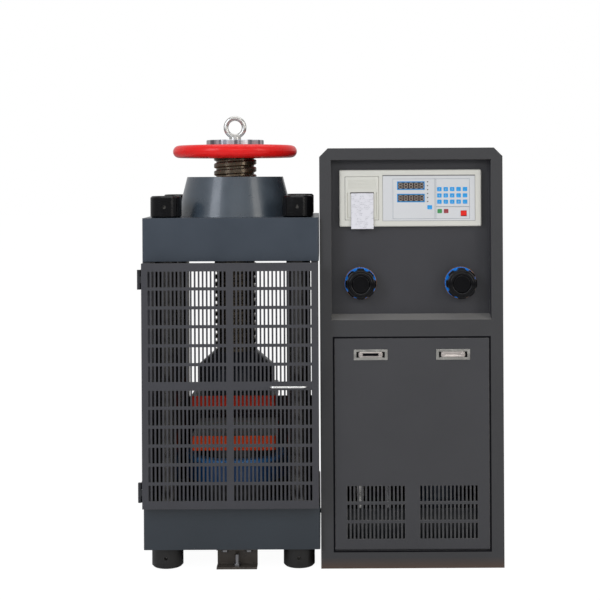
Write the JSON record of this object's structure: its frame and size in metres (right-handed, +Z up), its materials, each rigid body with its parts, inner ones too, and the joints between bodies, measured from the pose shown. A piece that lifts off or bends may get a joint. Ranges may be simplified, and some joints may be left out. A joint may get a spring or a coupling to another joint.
{
  "type": "concrete compression testing machine",
  "caption": "Four-column press for concrete samples, with a hydraulic ram below, a handwheel screw and swivelling platen above, a slotted guard door and a control cabinet beside it.",
  "frame": {"origin": "on the floor, under the middle of the whole machine's box", "axes": "+Z up, +X to the machine's right as seen from its front, the front faces -Y"},
  "size_m": [0.9352, 0.471, 1.1725],
  "materials": {
    "beam_paint": "semi-gloss blue-grey paint",
    "sheet_paint": "fine dark grey powder coat",
    "column_steel": "ground steel, oiled",
    "nut_black": "glossy black enamel",
    "cylinder_blue": "glossy blue paint",
    "ram_steel": "ground steel",
    "platen_red": "red paint on the sides, ground steel faces",
    "seat_steel": "dark oiled steel",
    "screw_steel": "dark greased steel",
    "nut_bronze": "cast bronze",
    "wheel_red": "glossy red enamel",
    "chrome": "polished chrome plate",
    "hinge_black": "black enamel",
    "fastener_steel": "zinc plated steel",
    "seal_rubber": "oil-resistant rubber",
    "black_plastic": "moulded black plastic",
    "panel_cream": "smooth cream moulding",
    "case_steel": "grey painted sheet",
    "film_grey": "printed silver-grey film",
    "window_dark": "dark clear window",
    "rocker_red": "bright red plastic",
    "paper": "white thermal paper",
    "knob_black": "glossy black plastic",
    "dial_blue": "blue printed disc",
    "block_steel": "milled steel",
    "tank_paint": "grey enamel",
    "motor_paint": "blue-grey enamel",
    "pump_iron": "bare cast iron"
  },
  "bodies": {
    "frame": {"base_beam": "beam_paint", "crosshead": "beam_paint", "screw_housing": "beam_paint", "side_guards": "sheet_paint", "rear_guard": "sheet_paint", "cabinet_shell": "sheet_paint", "recess_tray": "sheet_paint", "cabinet_back": "sheet_paint", "columns": "column_steel", "column_feet": "nut_black", "column_nuts": "nut_black", "ram_cylinder": "cylinder_blue", "screw_nut": "nut_bronze", "filler_cap": "chrome", "frame_hinge_leaves": "hinge_black", "door_hinge_pins": "hinge_black", "anchor_bracket": "hinge_black", "service_hinge_rod": "fastener_steel", "bracket_bolts": "fastener_steel", "oil_pipes": "fastener_steel", "pipe_fittings": "fastener_steel", "pressure_sensor": "fastener_steel", "ram_seal": "seal_rubber", "door_catch": "black_plastic", "cable_gland": "black_plastic", "printer_body": "black_plastic", "print_head": "black_plastic", "panel_bezel": "panel_cream", "printer_cover": "panel_cream", "controller_case": "case_steel", "keypad_overlay": "film_grey", "display_windows": "window_dark", "paper_strip": "paper", "dial_plates": "dial_blue", "valve_block": "block_steel", "oil_tank": "tank_paint", "tank_lid": "tank_paint", "pump_motor": "motor_paint", "motor_cowl": "motor_paint", "oil_pump": "pump_iron"},
    "guard_door": {"guard_door": "sheet_paint", "door_hinge_leaves": "hinge_black", "door_handle": "chrome"},
    "ram": {"ram": "ram_steel", "lower_platen": "platen_red"},
    "seat": {"swivel_cup": "seat_steel"},
    "screw": {"lead_screw": "screw_steel", "handwheel": "wheel_red", "clamp_disc": "chrome", "lifting_eye": "chrome"},
    "upper_platen": {"swivel_ball": "seat_steel", "upper_platen": "platen_red"},
    "knob_left": {"valve_knob_left": "knob_black"},
    "knob_right": {"valve_knob_right": "knob_black"},
    "service_door": {"service_door": "sheet_paint", "latch_cups": "chrome"},
    "latch_left": {"latch_lever_left": "chrome"},
    "latch_right": {"latch_lever_right": "chrome"},
    "power_rocker": {"power_rocker": "rocker_red"},
    "paper_roll": {"paper_roll": "paper"}
  },
  "joints": [
    {"name": "guard_door_hinge", "type": "hinge", "parent": "frame", "child": "guard_door", "pos_m": [-0.46265, -0.203, 0.166], "axis": [0, 0, -1], "range_deg": [0, 120]},
    {"name": "ram_lift", "type": "slide", "parent": "frame", "child": "ram", "axis": [0, 0, 1], "range_m": [0, 0.025]},
    {"name": "screw_travel", "type": "slide", "parent": "frame", "child": "seat", "axis": [0, 0, 1], "range_m": [-0.04, 0.246]},
    {"name": "handwheel_turn", "type": "hinge", "parent": "seat", "child": "screw", "pos_m": [-0.23135, 0.0145, 1.076], "axis": [0, 0, 1], "range_deg": [-719, 4427]},
    {"name": "platen_tilt", "type": "hinge", "parent": "seat", "child": "upper_platen", "pos_m": [-0.23135, 0.0145, 0.401], "axis": [1, 0, 0], "range_deg": [-3, 3], "stiffness_Nm_per_rad": 80},
    {"name": "knob_left_turn", "type": "hinge", "parent": "frame", "child": "knob_left", "pos_m": [0.10215, -0.1285, 0.73], "axis": [0, -1, 0], "range_deg": [0, 720]},
    {"name": "knob_right_turn", "type": "hinge", "parent": "frame", "child": "knob_right", "pos_m": [0.36215, -0.1285, 0.73], "axis": [0, -1, 0], "range_deg": [0, 720]},
    {"name": "service_door_hinge", "type": "hinge", "parent": "frame", "child": "service_door", "pos_m": [0.23215, -0.1615, 0.0513], "axis": [1, 0, 0], "range_deg": [0, 90]},
    {"name": "latch_left_turn", "type": "hinge", "parent": "service_door", "child": "latch_left", "pos_m": [0.10215, -0.165, 0.549], "axis": [0, 0, -1], "range_deg": [0, 55]},
    {"name": "latch_right_turn", "type": "hinge", "parent": "service_door", "child": "latch_right", "pos_m": [0.31415, -0.165, 0.549], "axis": [0, 0, -1], "range_deg": [0, 55]},
    {"name": "power_rocker_tip", "type": "hinge", "parent": "frame", "child": "power_rocker", "pos_m": [0.37015, -0.1355, 0.9105], "axis": [1, 0, 0], "range_deg": [0, 14]},
    {"name": "paper_roll_spin", "type": "hinge", "parent": "frame", "child": "paper_roll", "pos_m": [0.10665, -0.1085, 0.9225], "axis": [1, 0, 0], "continuous": true}
  ],
  "couplings": [
    {"joint": "screw_travel", "follows": "handwheel_turn", "m_per_rad": 0.0031831}
  ]
}
